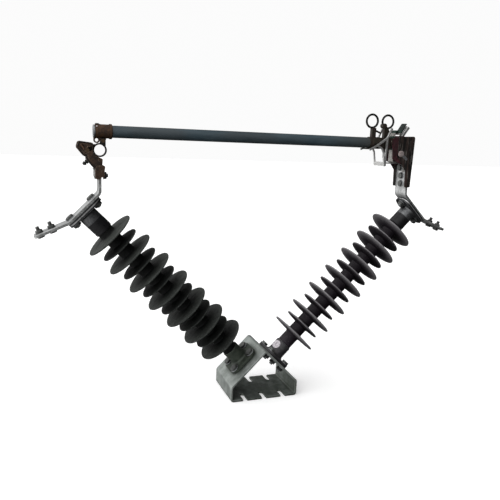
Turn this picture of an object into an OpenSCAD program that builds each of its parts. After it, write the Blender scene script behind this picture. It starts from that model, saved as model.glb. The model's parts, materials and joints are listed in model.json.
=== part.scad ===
// Drop-out fuse of the V pattern. Two long insulators stand on one folded bracket and carry
// a fuse tube between a hinge end and a contact end with an arc chute.
// X runs along the fuse tube (hinge end at -X), Z points away from the crossarm, and the
// origin is the centre of the base plate's underside.

/* [Base bracket] */
// Width of the bracket across the two insulators
bracket_w = 200; // [184:1:230]
// Length of the folded strip along the crossarm
bracket_l = 145; // [125:1:180]
// Height of the upright side walls
bracket_wall_h = 45; // [38:1:60]
// Thickness of the bracket plate
bracket_t = 6; // [4:0.5:8]
// Outside radius of the bracket's bends
bracket_bend_r = 9; // [8.5:0.5:14]
// Width of a bolt notch in the base plate
notch_w = 13; // [9:0.5:18]
// Depth of a bolt notch from the plate's edge
notch_l = 36; // [20:1:50]
// Distance between neighbouring notches
notch_pitch = 57; // [40:1:62]

/* [Insulators] */
// Height above the base at which the two insulator axes cross
axis_z = 48.5; // [44:0.5:54]
// Length of an insulator from the bracket to the contact arm
insulator_l = 618; // [600:1:680]
// Diameter of the large sheds
shed_big_d = 140; // [100:1:150]
// Diameter of the small sheds
shed_small_d = 112; // [80:1:130]
// Number of large sheds on an insulator that has room for them
shed_count = 7; // [4:1:7]
// Distance between neighbouring large sheds
shed_pitch = 72; // [60:1:73]
// Height of the first large shed above the bracket
first_shed_h = 93.5; // [85:0.5:100]
// Thickness of a shed at the shank
shed_root_t = 12; // [8:0.5:16]
// Thickness of a shed at its rim
shed_tip_t = 4.4; // [3:0.2:6]
// Diameter of the shank between the sheds
shank_d = 43; // [36:0.5:46]

/* [Insulator fittings] */
// Diameter of the fittings' barrels
barrel_d = 48; // [47:0.5:56]
// Height of the lower fitting
lower_fitting_h = 52; // [40:1:60]
// Height of the upper fitting
upper_fitting_h = 74; // [55:1:76]
// Length of the lower flange along the roof's slope
lower_flange_w = 92; // [90:1:98]
// Length of the lower flange along the crossarm
lower_flange_l = 88; // [86:1:100]
// Radius of the lower flange's corners
lower_flange_r = 26; // [24:1:30]
// Thickness of the lower flange
lower_flange_t = 9; // [7:0.5:12]
// Length of the upper flange along the arm
upper_flange_w = 102; // [98:1:110]
// Width of the upper flange across the arm
upper_flange_l = 62; // [60:1:70]
// Thickness of the upper flange
upper_flange_t = 11; // [8:0.5:14]
// Diameter of the flange bolts
flange_bolt_d = 12; // [8:1:12]
// Distance between lower flange bolts along the slope
lower_bolt_x = 62; // [61:1:66]
// Distance between lower flange bolts along the crossarm
lower_bolt_y = 56; // [55:1:60]
// Distance between the two upper flange bolts
upper_bolt_x = 72; // [70:1:78]
// Diameter of the pale plug on the contact end's lower fitting
plug_d = 26; // [16:1:28]

/* [Contact arms] */
// Width of the contact arms
arm_w = 55; // [50:1:60]
// Thickness of the contact arms
arm_t = 6; // [4:0.5:8]
// Level distance from the middle of an insulator's top in to the arm's upright
arm_x = 43.24199; // [39:0.00001:47]
// Length of the sloping stretch of an arm between its bends
arm_slope_l = 107.5; // [104:0.5:112]
// Inside radius of an arm's bends
arm_bend_r = 13; // [8:1:14]
// Length of a terminal leg
terminal_l = 89; // [80:1:120]
// Slope of a terminal leg below level, degrees
terminal_slope = 23; // [10:1:30]
// Distance between the two bolts of a terminal
terminal_bolt_pitch = 31; // [28:1:36]
// Diameter of the terminal bolts
terminal_bolt_d = 10; // [8:1:12]
// Length of a terminal bolt's free end beyond its nut
terminal_stud_l = 9; // [6:1:14]
// Height of the top of the hinge end's upright above its bend
hinge_arm_top = 63; // [55:1:65]
// Height of the top of the contact end's upright above its bend
contact_arm_top = 123; // [118:1:126]

/* [Hinge end] */
// Distance from the arm's upright out to the hinge axis
hinge_x = 32; // [31:0.5:34]
// Height of the hinge axis above the arm's bend
hinge_z = 106; // [105:0.5:108]
// Diameter of the trunnion pins
trunnion_d = 10; // [8:0.5:11]
// Distance between the inner faces of the hinge casting's cheeks
cheek_gap = 28; // [27:0.5:32]
// Thickness of a cheek
cheek_t = 6; // [5:0.5:8]
// Thickness of the hinge clamp's wall on the outer side of the arm
clamp_wall = 8.5; // [7:0.5:10]
// Thickness of the hinge clamp's wall on the inner side of the arm
clamp_back = 7; // [6:0.5:9]
// Radial clearance of a pin in its hole or seat
pin_fit = 0.06; // [0.03:0.01:0.1]
// Diameter of the hole in the hook-stick ring
hook_eye_d = 27; // [20:0.5:28]
// Radial width of the hook-stick ring
hook_ring_w = 3.6; // [3:0.2:4]
// Diameter of the toggle pin
toggle_pin_d = 6; // [4:0.5:7]
// Diameter of the open eye in the ferrule's lug
ferrule_eye_d = 8.4; // [6:0.2:9]

/* [Fuse tube] */
// Outside diameter of the fuse tube
tube_d = 30; // [24:0.5:31]
// Bore of the fuse tube
tube_bore_d = 16; // [12:0.5:20]
// Distance from the hinge axis in to the tube's open end
tube_mouth_x = 16; // [15:0.5:17]
// Distance from the contact arm's upright back to the tube's closed end
tube_end_x = 92; // [90:1:102]
// Height of the tube's axis above the hinge axis, over the bracket's centre
tube_z = 45.4; // [45:0.1:47]
// Droop of the tube towards the contact end, degrees
tube_droop = 0.12; // [0.05:0.01:0.3]
// Wall of the ferrule and collar around the tube
ferrule_wall = 2; // [1.8:0.1:3]
// Outside diameter of the two operating rings
ring_od = 43; // [38:0.5:44]
// Wire diameter of the two operating rings
ring_wire_d = 6; // [4:0.5:7]

/* [Contact end] */
// Gap between the contact arm's edge and a side plate of the contact bracket
chute_gap = 0.3; // [0.2:0.1:1]
// Thickness of a fibre plate
fibre_t = 4; // [3:0.2:5]
// Thickness of the contact bracket's steel
channel_t = 3; // [2.5:0.5:4]
// Thickness of the contact strip
strip_t = 3; // [2:0.5:4]
// Width of the contact strip
strip_w = 24; // [18:1:30]
// Distance from the contact arm's upright out to the contact strip's face
strip_reach = 44; // [43:0.5:46]
// Thickness of the leaf that carries the load-break hooks
hook_leaf_t = 3; // [2:0.5:4]
// Side of the load-break hooks' square bar
horn_d = 5; // [4:0.5:6]
// Gap between the tube's contact cap and the contact strip
contact_gap = 0.5; // [0.3:0.1:1]

/* [Hidden] */
$fn = 48;

// --- Places shared by the pieces ---
root2 = sqrt(2);
roof_s = (bracket_w / 2 + bracket_wall_h - axis_z) / root2;
arm_sum = axis_z + (roof_s + insulator_l) * root2;
upright_x = (roof_s + insulator_l) / root2 - arm_x;
arm_top_bend = [upright_x, arm_sum - upright_x];
arm_low_bend = arm_top_bend + arm_slope_l * [1, -1] / root2;
terminal_dir = [cos(terminal_slope), -sin(terminal_slope)];
arm_tip = arm_low_bend + terminal_l * terminal_dir;
fit = 0.3;
hole_gap = 0.5;

// Hinge end, as X and Z
hinge_c = [-upright_x - hinge_x, arm_top_bend.y + hinge_z];
hook_eye_c = hinge_c + [31, 0.5];
toggle_c = hinge_c + [38.5, 23.5];
ferrule_eye_c = hinge_c + [23.7, 24.9];
hook_ring_r = hook_eye_d / 2 + hook_ring_w;
hub_r = trunnion_d / 2 + 3;
hub_l = cheek_gap - 2;
cheek_y = cheek_gap / 2 + cheek_t;
toggle_eye_r = toggle_pin_d / 2 + 3.3;
lug_w = 9.6;
fork_gap = lug_w + 2 * fit;
fork_w = fork_gap + 8.8;

// Fuse holder, measured along the tube from over the bracket's centre
tube_axis_z = hinge_c.y + tube_z;
mouth_x = upright_x + hinge_x - tube_mouth_x;
closed_x = upright_x - tube_end_x;
ferrule_x = mouth_x - 4;
ferrule_l = 41;
ferrule_r = tube_d / 2 + ferrule_wall;
collar_l = 36;
cap_l = 9.5;
cap_d = 22;
strip_x = upright_x - strip_reach;
casting_end_x = strip_x - contact_gap - cap_l;
ring_r = (ring_od - ring_wire_d) / 2;

// Contact end, from the top of the arm's upright as X and Z
contact_c = [upright_x, arm_top_bend.y + contact_arm_top];
channel_y = arm_w / 2 + chute_gap;
spine_x = upright_x + arm_t;

// --- Rounded outlines ---
function unit(v) = v / norm(v);
function turned(a) = a > 180 ? a - 360 : a < -180 ? a + 360 : a;

// Points of the fillet of radius r at p, between the neighbours a and b
function fillet(a, p, b, r, n = 6) =
    let (u = unit(a - p), v = unit(b - p), half = acos(u * v) / 2,
         c = p + unit(u + v) * r / sin(half),
         s = p + u * r / tan(half) - c, e = p + v * r / tan(half) - c,
         from = atan2(s.y, s.x), sweep = turned(atan2(e.y, e.x) - from))
    [for (i = [0 : n]) c + r * [cos(from + sweep * i / n), sin(from + sweep * i / n)]];

// Closed outline with one radius at each corner
function rounded(pts, radii) = let (n = len(pts))
    [for (i = [0 : n - 1])
        each (radii[i] > 0 ? fillet(pts[(i + n - 1) % n], pts[i], pts[(i + 1) % n], radii[i]) : [pts[i]])];

// Outline of a strip of thickness t on the left of an open path with filleted bends
function left_normal(a, b) = let (d = unit(b - a)) [-d.y, d.x];
function offset_bend(a, p, b, r, t, n = 6) =
    let (na = left_normal(a, p), nb = left_normal(p, b), side = cross(p - a, b - p) > 0 ? 1 : -1,
         from = atan2(na.y, na.x), sweep = turned(atan2(nb.y, nb.x) - from),
         c = p + unit(na + nb) * side * r / (unit(na + nb) * na))
    [for (i = [0 : n]) let (g = from + sweep * i / n) c + [cos(g), sin(g)] * (t - side * r)];
function strip_side(path, radii, t) = let (n = len(path))
    concat([path[0] + t * left_normal(path[0], path[1])],
        [for (i = [1 : n - 2]) each offset_bend(path[i - 1], path[i], path[i + 1], radii[i - 1], t)],
        [path[n - 1] + t * left_normal(path[n - 2], path[n - 1])]);
function reversed(v) = [for (i = [len(v) - 1 : -1 : 0]) v[i]];
function strip(path, radii, t) = concat(strip_side(path, radii, 0), reversed(strip_side(path, radii, t)));

// Points given from the place c
function at(c, pts) = [for (p = pts) c + p];

// An X-Z outline given thickness w along Y, centred on y
module slab(outline, w, y = 0) {
    translate([0, y + w / 2, 0]) rotate([90, 0, 0]) linear_extrude(w) polygon(outline);
}

// A round bar or drill along Y at an X-Z place
module cross_bar(c, d, w, y = 0) {
    translate([c.x, y + w / 2, c.y]) rotate([90, 0, 0]) cylinder(h = w, d = d);
}

// --- Frames ---
// Along the contact end's insulator, from the bracket's roof outwards
module insulator_frame() {
    translate([0, 0, axis_z]) rotate([0, 45, 0]) translate([0, 0, roof_s]) children();
}

// Both ends are alike up to the arms, so the hinge end is the mirror image
module hinge_side() {
    mirror([1, 0, 0]) children();
}

// Along the fuse tube
module holder_frame() {
    translate([0, 0, tube_axis_z]) rotate([0, tube_droop, 0]) children();
}

// On a terminal leg's inner face, Z away from the bracket
module terminal_frame(along) {
    p = arm_tip - along * terminal_dir;
    translate([p.x, 0, p.y]) rotate([0, terminal_slope, 0]) children();
}

// --- Fasteners ---
// A thread's crests lie just inside the shank's diameter
thread_under = 0.32;

// Bolt of diameter d clamping from z = 0 up to z = grip, head below and nut above
module bolt(d, grip, spare = 5) {
    head_h = 0.65 * d;
    nut_h = 0.8 * d;
    translate([0, 0, -head_h]) cylinder(h = head_h, d = 1.8 * d, $fn = 6);
    translate([0, 0, -head_h]) cylinder(h = head_h + grip + nut_h / 2, d = d);
    translate([0, 0, grip]) cylinder(h = nut_h + spare, d = d - thread_under);
    translate([0, 0, grip]) cylinder(h = nut_h, d = 1.8 * d, $fn = 6);
}

// --- Base bracket ---
module bracket_outline(inset) {
    w = bracket_w / 2 - inset;
    h = bracket_wall_h + inset - inset * root2;
    r = bracket_bend_r - inset;
    pts = [[-w, inset], [w, inset], [w, h], [0, h + w], [-w, h]];
    polygon(rounded(pts, [r, r, r, r, r]));
}

module base_notch(x, side) {
    end_y = side * (bracket_l / 2 - notch_l + notch_w / 2);
    translate([x, end_y, -1]) cylinder(h = bracket_t + 2, d = notch_w);
    translate([x - notch_w / 2, side > 0 ? end_y : end_y - notch_l, -1])
        cube([notch_w, notch_l, bracket_t + 2]);
}

module lower_bolt_places() {
    for (x = [-1, 1], y = [-1, 1])
        translate([x * lower_bolt_x / 2, y * lower_bolt_y / 2, 0]) children();
}

module roof_holes() {
    insulator_frame() lower_bolt_places()
        translate([0, 0, -bracket_t - 1]) cylinder(h = bracket_t + 2, d = flange_bolt_d + hole_gap);
}

module mounting_bracket() {
    color("#9aa09a") difference() {
        translate([0, bracket_l / 2, 0]) rotate([90, 0, 0]) linear_extrude(bracket_l) difference() {
            bracket_outline(0);
            bracket_outline(bracket_t);
        }
        for (i = [-1 : 1], side = [-1, 1]) base_notch(i * notch_pitch, side);
        roof_holes();
        hinge_side() roof_holes();
    }
}

// --- Insulators ---
core_d = shank_d - 13;
core_grip = 34;
housing_low = lower_fitting_h;
housing_high = insulator_l - upper_fitting_h;
last_shed_gap = 15;
sheds = min(shed_count, 1 + floor((housing_high - last_shed_gap - first_shed_h) / shed_pitch));

// Half-profile of one shed at height z, from the shank out to the rim and back
function shed(z, d) =
    let (root = shed_root_t / 2, tip = shed_tip_t / 2, r = d / 2, s = shank_d / 2)
    [[s, z - root - 2.5], [s + 0.9, z - root - 0.7], [s + 3, z - root + 0.3],
     [r - tip, z - tip], [r - tip * 0.3, z - tip * 0.7], [r, z], [r - tip * 0.3, z + tip * 0.7],
      [r - tip, z + tip],
     [s + 3, z + root - 0.3], [s + 0.9, z + root + 0.7], [s, z + root + 2.5]];

module housing() {
    rotate_extrude($fn = 96) polygon(concat(
        [[0, housing_low - core_grip], [core_d / 2, housing_low - core_grip],
         [core_d / 2, housing_low], [shank_d / 2, housing_low]],
        [for (k = [0 : 2 * sheds - 2])
            each shed(first_shed_h + k * shed_pitch / 2, k % 2 == 0 ? shed_big_d : shed_small_d)],
        [[shank_d / 2, housing_high], [core_d / 2, housing_high],
         [core_d / 2, housing_high + core_grip], [0, housing_high + core_grip]]));
}

module contact_insulator() {
    color("#2b272f") insulator_frame() housing();
}

module hinge_insulator() {
    color("#1f2423") hinge_side() insulator_frame() housing();
}

// --- Insulator end fittings ---
function rounded_plate(w, l, r) = rounded(
    [[-w / 2, -l / 2], [w / 2, -l / 2], [w / 2, l / 2], [-w / 2, l / 2]], [r, r, r, r]);

module lower_fitting() {
    difference() {
        union() {
            linear_extrude(lower_flange_t)
                polygon(rounded_plate(lower_flange_w, lower_flange_l, lower_flange_r));
            rotate_extrude() polygon([[0, 0], [barrel_d / 2 + 7, 0], [barrel_d / 2 + 7, lower_flange_t],
                [barrel_d / 2 + 2.5, lower_flange_t + 2.5], [barrel_d / 2, lower_flange_t + 7],
                [barrel_d / 2, lower_fitting_h - 2], [barrel_d / 2 - 1.5, lower_fitting_h],
                [0, lower_fitting_h]]);
        }
        translate([0, 0, lower_fitting_h - core_grip - fit])
            cylinder(h = core_grip + 1, d = core_d + 2 * fit);
        lower_bolt_places() translate([0, 0, -1])
            cylinder(h = lower_flange_t + 2, d = flange_bolt_d + hole_gap);
        lower_bolt_places() translate([0, 0, lower_flange_t])
            cylinder(h = lower_fitting_h, d = 1.8 * flange_bolt_d + 1);
    }
}

module upper_fitting() {
    flare_h = upper_fitting_h - upper_flange_t;
    translate([0, 0, insulator_l - upper_fitting_h]) difference() {
        union() {
            rotate_extrude() polygon([[0, 0], [barrel_d / 2 - 1.5, 0], [barrel_d / 2, 2],
                [barrel_d / 2, flare_h - 6], [barrel_d / 2 + 1.5, flare_h - 2],
                [barrel_d / 2 + 4.5, flare_h], [barrel_d / 2 + 4.5, upper_fitting_h],
                [0, upper_fitting_h]]);
            translate([0, 0, upper_fitting_h - upper_flange_t]) linear_extrude(upper_flange_t)
                polygon(rounded_plate(upper_flange_w, upper_flange_l, 24));
        }
        translate([0, 0, -1]) cylinder(h = core_grip + fit + 1, d = core_d + 2 * fit);
        for (x = [-1, 1]) translate([x * upper_bolt_x / 2, 0, 0])
            cylinder(h = upper_fitting_h + 1, d = flange_bolt_d + hole_gap);
        for (x = [-1, 1]) translate([x * upper_bolt_x / 2, 0, -1])
            cylinder(h = upper_fitting_h - upper_flange_t + 1, d = 1.8 * flange_bolt_d + 1);
    }
}

module contact_lower_fitting() {
    color("#343536") difference() {
        insulator_frame() lower_fitting();
        plug_place() cylinder(h = 10, d = plug_d + 2 * fit);
    }
}

module hinge_lower_fitting() {
    color("#39423a") hinge_side() insulator_frame() lower_fitting();
}

module contact_upper_fitting() {
    color("#55585a") insulator_frame() upper_fitting();
}

module hinge_upper_fitting() {
    color("#55585a") hinge_side() insulator_frame() upper_fitting();
}

// The plug sits in a flat spot on the upper side of the lower fitting
plug_h = 3;
plug_turn = -66;
module plug_place() {
    insulator_frame() rotate([0, 0, plug_turn])
        translate([0, -barrel_d / 2 + plug_h, lower_fitting_h / 2 + 8]) rotate([90, 0, 0]) children();
}

module fitting_plug() {
    color("#b9b4bb") plug_place() difference() {
        union() {
            cylinder(h = plug_h + 1, d = plug_d);
            translate([0, 0, plug_h + 1]) cylinder(h = 1, d1 = plug_d, d2 = plug_d - 2);
        }
        translate([0, 0, plug_h]) cylinder(h = 5, d = 7);
    }
}

// --- Flange bolts ---
module base_bolts() {
    insulator_frame() lower_bolt_places() translate([0, 0, lower_flange_t]) mirror([0, 0, 1])
        bolt(flange_bolt_d, lower_flange_t + bracket_t);
}

module hinge_base_bolts() {
    color("#8d928c") hinge_side() base_bolts();
}

module contact_base_bolts() {
    color("#5c605c") base_bolts();
}

module flange_bolts() {
    insulator_frame() for (x = [-1, 1])
        translate([x * upper_bolt_x / 2, 0, insulator_l + arm_t]) mirror([0, 0, 1]) rotate([0, 0, 30])
            bolt(flange_bolt_d, upper_flange_t + arm_t, 3);
}

module hinge_flange_bolts() {
    color("#70736f") hinge_side() flange_bolts();
}

module contact_flange_bolts() {
    color("#70736f") flange_bolts();
}

// --- Contact arms ---
module arm(top, tip_r = 12) {
    inner_r = arm_bend_r + arm_t;
    path = [arm_top_bend + [0, top], arm_top_bend, arm_low_bend, arm_tip];
    difference() {
        slab(strip(path, [inner_r, inner_r], arm_t), arm_w);
        insulator_frame() for (x = [-1, 1])
            translate([x * upper_bolt_x / 2, 0, insulator_l - 1])
                cylinder(h = arm_t + 2, d = flange_bolt_d + hole_gap);
        for (i = [0, 1]) terminal_frame(15 + i * terminal_bolt_pitch)
            translate([0, 0, -1]) cylinder(h = arm_t + 2, d = terminal_bolt_d + hole_gap);
        for (side = [-1, 1]) terminal_frame(0) translate([-tip_r, side * (arm_w / 2 - tip_r), -1])
            difference() {
                translate([0, side > 0 ? 0 : -tip_r - 1, 0]) cube([tip_r + 1, tip_r + 1, arm_t + 2]);
                translate([0, 0, -1]) cylinder(h = arm_t + 4, r = tip_r);
            }
    }
}

clamp_bolt_z = arm_top_bend.y + 44;
channel_bolt_z = [contact_c.y - 89, contact_c.y - 65.5];
strip_bolt_z = contact_c.y - 42;
upright_bolt_d = 10;

module upright_hole(z) {
    translate([upright_x - 1, 0, z]) rotate([0, 90, 0]) cylinder(h = arm_t + 2, d = upright_bolt_d + hole_gap);
}

module hinge_arm() {
    color("#c4c6c8") hinge_side() difference() {
        arm(hinge_arm_top);
        upright_hole(clamp_bolt_z);
    }
}

module contact_arm() {
    color("#b4b6ba") difference() {
        arm(contact_arm_top);
        for (z = channel_bolt_z) upright_hole(z);
        upright_hole(strip_bolt_z);
    }
}

module terminal_bolts() {
    for (i = [0, 1]) terminal_frame(15 + i * terminal_bolt_pitch)
        bolt(terminal_bolt_d, arm_t, terminal_stud_l);
}

module hinge_terminal_bolts() {
    color("#7b7d7e") hinge_side() terminal_bolts();
}

module contact_terminal_bolts() {
    color("#7b7d7e") terminal_bolts();
}

// --- Hinge casting ---
cheek_outline = at(hinge_c, [[-25, 8], [-21.6, 19.6], [-16.3, 21.4], [13.2, 17.9], [14.5, 2],
    [18, -11], [30, -18], [36.5, -20], [35, -40], [17.5, -46], [5.5, -32], [-3, -22], [0, -15],
    [-8, -15], [-23.5, 3.5]]);
cheek_radii = [6, 4, 2, 3, 6, 8, 8, 3, 0, 0, 0, 3, 2, 3, 3];
seat_angle = 25;

// The clamp around the arm's upright, from the middle of its bolt at the arm's inner face
clamp_c = [-upright_x, clamp_bolt_z];
clamp_left = -arm_t - clamp_wall;
clamp_outline = at(clamp_c, [[clamp_left, 17], [clamp_left, -3], [clamp_left + 3, -8], [-4, -8],
    [1, -2.5], [clamp_back, -2.5], [clamp_back, 9], [clamp_back + 2.5, 25.5], [clamp_left + 4, 25.5]]);
clamp_front = 4;

// The room between the cheeks, open towards the tube and past the horns
cheek_pocket = at(hinge_c,
    [[-40, 30], [60, 30], [60, -36], [15.6, -36], [3.8, -19.2], [-3, -24], [-40, -24]]);

// The shallow face inside the rim of a cheek
cheek_face = at(hinge_c, [[-19, 15.5], [3, 14], [7, -3], [-2, -10], [-19.5, 5.5]]);
face_d = 1.6;

// The flat that the link stud screws into
stud_flat = [cheek_outline[11], cheek_outline[10]];

module hinge_casting() {
    slot_w = trunnion_d + 2 * pin_fit - 0.03;
    clamp_low = clamp_bolt_z - 8;
    color("#3b2a1f") difference() {
        union() {
            slab(rounded(cheek_outline, cheek_radii), 2 * cheek_y);
            slab(rounded(clamp_outline, [0, 2, 3, 3, 2, 2, 6, 3, 3]), arm_w + 2 * (fit + clamp_front));
        }
        slab(cheek_pocket, cheek_gap);
        for (side = [-1, 1]) slab(rounded(cheek_face, [3, 3, 3, 3, 3]), 2 * face_d, side * cheek_y);
        // Socket for the arm, open below
        translate([-upright_x - arm_t - fit, -arm_w / 2 - fit, clamp_low - 1])
            cube([arm_t + 2 * fit, arm_w + 2 * fit, arm_top_bend.y + hinge_arm_top + fit - clamp_low + 1]);
        translate([-upright_x + clamp_left - 1, 0, clamp_bolt_z]) rotate([0, 90, 0])
            cylinder(h = arm_t + clamp_wall + clamp_back + 5, d = upright_bolt_d + hole_gap);
        translate([-upright_x + clamp_left - 1, 0, clamp_bolt_z]) rotate([0, 90, 0])
            cylinder(h = 1 + clamp_sink, d = 1.8 * upright_bolt_d + 1);
        // Open seats that the trunnion pins drop into
        cross_bar(hinge_c, trunnion_d + 2 * pin_fit, 2 * cheek_y + 2);
        translate([hinge_c.x, -cheek_y - 1, hinge_c.y]) rotate([0, 90 - seat_angle, 0])
            translate([-slot_w / 2, 0, 0]) cube([slot_w, 2 * cheek_y + 2, 40]);
    }
}

// The clamp bolt's head lies sunk in the clamp's outer face, under the leaf spring
clamp_sink = 6.5;
module hinge_clamp_bolt() {
    color("#2e2f30") translate([-upright_x + clamp_left + clamp_sink, 0, clamp_bolt_z]) rotate([0, 90, 0])
        bolt(upright_bolt_d, arm_t + clamp_wall + clamp_back - clamp_sink, 4);
}

module hinge_leaf_spring() {
    leaf_t = 1.6;
    x = -upright_x + clamp_left;
    color("#c9cbcd") {
        slab(strip(at([x, clamp_bolt_z], [[-2.4, 17.2], [0, 14], [0, -2]]), [4], -leaf_t), cheek_gap - 2);
        for (side = [-1, 1]) translate([x - leaf_t - 1, side * 10, clamp_bolt_z + 9]) rotate([0, 90, 0])
            cylinder(h = 1.5, d = 5);
    }
}

module link_stud() {
    n = unit([stud_flat[1].y - stud_flat[0].y, stud_flat[0].x - stud_flat[1].x]);
    mid = (stud_flat[0] + stud_flat[1]) / 2;
    color("#1d1c1b") translate([mid.x, 0, mid.y]) rotate([0, atan2(n.x, n.y), 0]) {
        cylinder(h = 14, d = 7);
        cylinder(h = 5, d = 11, $fn = 6);
    }
}

// --- Trunnion casting ---
module trunnion_casting() {
    color("#2f231b") difference() {
        union() {
            cross_bar(hinge_c, 2 * hub_r, hub_l);
            cross_bar(hook_eye_c, 2 * hook_ring_r, 9);
            slab(at(hinge_c, [[0, -hub_r], [20, -10], [20, 14.5], [12, 14.5], [0, hub_r]]), 9);
            for (side = [-1, 1]) {
                y = side * (fork_gap + fork_w) / 4;
                w = (fork_w - fork_gap) / 2;
                cross_bar(toggle_c, 2 * toggle_eye_r, w, y);
                slab([toggle_c + [-toggle_eye_r, -13], toggle_c + [toggle_eye_r, -15],
                    toggle_c + [toggle_eye_r, 0], toggle_c + [-toggle_eye_r, 0]], w, y);
            }
            slab([toggle_c + [-toggle_eye_r, -13], toggle_c + [toggle_eye_r, -15],
                toggle_c + [toggle_eye_r, -toggle_eye_r - 1],
                toggle_c + [-toggle_eye_r, -toggle_eye_r - 1]], fork_w);
        }
        cross_bar(hook_eye_c, hook_eye_d, 40);
        cross_bar(toggle_c, toggle_pin_d + 2 * pin_fit, 40);
        cross_bar(hinge_c, trunnion_d, hub_l + 2);
    }
}

module trunnion_pins() {
    color("#4b3a2a") cross_bar(hinge_c, trunnion_d, 2 * (cheek_y - face_d) - 0.6);
}

module toggle_pin() {
    color("#6d6a62") {
        cross_bar(toggle_c, toggle_pin_d, fork_w + 3);
        for (side = [-1, 1]) cross_bar(toggle_c, toggle_pin_d + 3, 1.5, side * (fork_w / 2 + 0.75));
    }
}

// --- Fuse holder ---
module along_tube(x, d, l) {
    holder_frame() translate([x, 0, 0]) rotate([0, 90, 0]) cylinder(h = l, d = d);
}

module lower_ferrule() {
    lug = rounded([ferrule_eye_c + [-7.5, 12], ferrule_eye_c + [-7.5, 0], ferrule_eye_c + [7, -3],
        toggle_c + [toggle_eye_r, 0], toggle_c + [toggle_eye_r + 5, 12]], [0, 0, 3, 0, 0]);
    color("#43301f") difference() {
        union() {
            along_tube(-ferrule_x, 2 * ferrule_r, ferrule_l);
            along_tube(-ferrule_x + ferrule_l - 7, 2 * ferrule_r + 3, 6);
            slab(lug, lug_w);
            cross_bar(ferrule_eye_c, 15, lug_w);
            cross_bar(toggle_c, 2 * toggle_eye_r, lug_w);
            holder_frame() translate([-ferrule_x, -6, ferrule_r - 5]) cube([12, 12, 5.6]);
        }
        along_tube(-ferrule_x - 5, tube_d + 2 * pin_fit, ferrule_l + 10);
        cross_bar(ferrule_eye_c, ferrule_eye_d, 40);
        cross_bar(toggle_c, toggle_pin_d + 2 * pin_fit, 40);
    }
}

module ferrule_bolt() {
    color("#8f9294") holder_frame() translate([-ferrule_x + 5, 0, ferrule_r + 0.6])
        cylinder(h = 1.8, d = 9, $fn = 6);
}

module fuse_tube() {
    color("#4a585c") difference() {
        along_tube(-mouth_x, tube_d, mouth_x + closed_x);
        along_tube(-mouth_x - 1, tube_bore_d, mouth_x + closed_x - 12);
    }
}

// --- Upper casting with its operating rings ---
pull_ring_c = [casting_end_x - 61.3, tube_axis_z + 61.2];
lift_ring_c = [casting_end_x - 8.7, tube_axis_z + 61.4];
ring_boss_c = lift_ring_c + [-13.3, -12.5];
collar_x = closed_x - 32.5;
pull_stem = at(pull_ring_c, [[-1, -58], [11.7, -58], [11.7, -19], [-1, -19]]);
lift_stem = at(lift_ring_c,
    [[-13, -55], [-2.3, -55], [-1.3, -44], [4.7, -28], [-1, -18], [-8, -12], [-13, -20]]);

module upper_casting() {
    casting_w = 28;
    casting_h = 32;
    color("#35322a") difference() {
        union() {
            along_tube(collar_x, 2 * ferrule_r, collar_l + 2);
            holder_frame() translate([collar_x - 13, -6, -ferrule_r - ferrule_wall]) cube([15, 12, 3.4]);
            holder_frame() translate([collar_x + 20, -casting_w / 2, -casting_h / 2])
                cube([casting_end_x - collar_x - 20, casting_w, casting_h]);
            slab(pull_stem, 12);
            slab(lift_stem, 12);
            cross_bar(ring_boss_c, 14, 15);
            translate([pull_ring_c.x + 10, 0, pull_ring_c.y - 25.7]) rotate([0, 110, 0])
                cylinder(h = 20, d = 5.5);
        }
        along_tube(collar_x - 20, tube_d + 2 * pin_fit, closed_x - collar_x + 20 + fit);
        for (c = [pull_ring_c, lift_ring_c]) operating_ring(c, ring_wire_d + 0.2);
    }
}

module operating_ring(c, wire = ring_wire_d) {
    translate([c.x, 0, c.y]) rotate([90, 0, 0]) rotate_extrude($fn = 64)
        translate([ring_r, 0]) circle(d = wire, $fn = 24);
}

module pull_ring() {
    color("#15140f") operating_ring(pull_ring_c);
}

module lift_ring() {
    color("#15140f") operating_ring(lift_ring_c);
}

module contact_cap() {
    color("#8b8577") holder_frame() translate([casting_end_x, 0, 0]) rotate([0, 90, 0])
        rotate_extrude() polygon([[0, 0], [cap_d / 2, 0], [cap_d / 2, cap_l - 4],
            [cap_d / 2 - 1.2, cap_l - 1.5], [cap_d / 2 - 4, cap_l], [0, cap_l]]);
}

// --- Contact end ---
channel_outline = at(contact_c,
    [[-38, 48.5], [15.6, 50.5], [11.3, -98.5], [-7.5, -98.5], [-9, -50], [-40, -9], [-38, 0]]);
spine_low = -98;
spine_h = 140;
spine_t = 4;

module contact_channel() {
    y = channel_y + channel_t / 2;
    color("#26241f") difference() {
        union() {
            for (side = [-1, 1]) slab(rounded(channel_outline, [3, 6, 3, 3, 6, 4, 0]), channel_t, side * y);
            translate([spine_x, -channel_y - 1, contact_c.y + spine_low])
                cube([spine_t, 2 * channel_y + 2, spine_h]);
        }
        for (z = channel_bolt_z) translate([spine_x - 1, 0, z]) rotate([0, 90, 0])
            cylinder(h = 10, d = upright_bolt_d + hole_gap);
        translate([spine_x - 1, 0, strip_bolt_z]) rotate([0, 90, 0])
            cylinder(h = 10, d = upright_bolt_d + hole_gap);
        cross_bar(chute_bolt_c, chute_bolt_d + hole_gap, 100);
    }
}

module channel_bolts() {
    color("#6f7173") {
        for (z = channel_bolt_z) translate([upright_x, 0, z]) rotate([0, 90, 0])
            bolt(upright_bolt_d, arm_t + spine_t, 4);
        translate([upright_x - strip_t - hook_leaf_t, 0, strip_bolt_z]) rotate([0, 90, 0])
            bolt(upright_bolt_d, hook_leaf_t + strip_t + arm_t + spine_t, 4);
    }
}

// Outer face of the contact strip, from its foot on the arm up over the hump to the flare
foot_path = at(contact_c, [[-strip_t, -54], [-strip_t, -28]]);
strip_path = concat(foot_path, at([strip_x, contact_c.y],
    [[0, -28], [0, 57], [6, 66.5], [11.5, 66.5], [15.5, 54], [37, 87]]));

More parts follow.
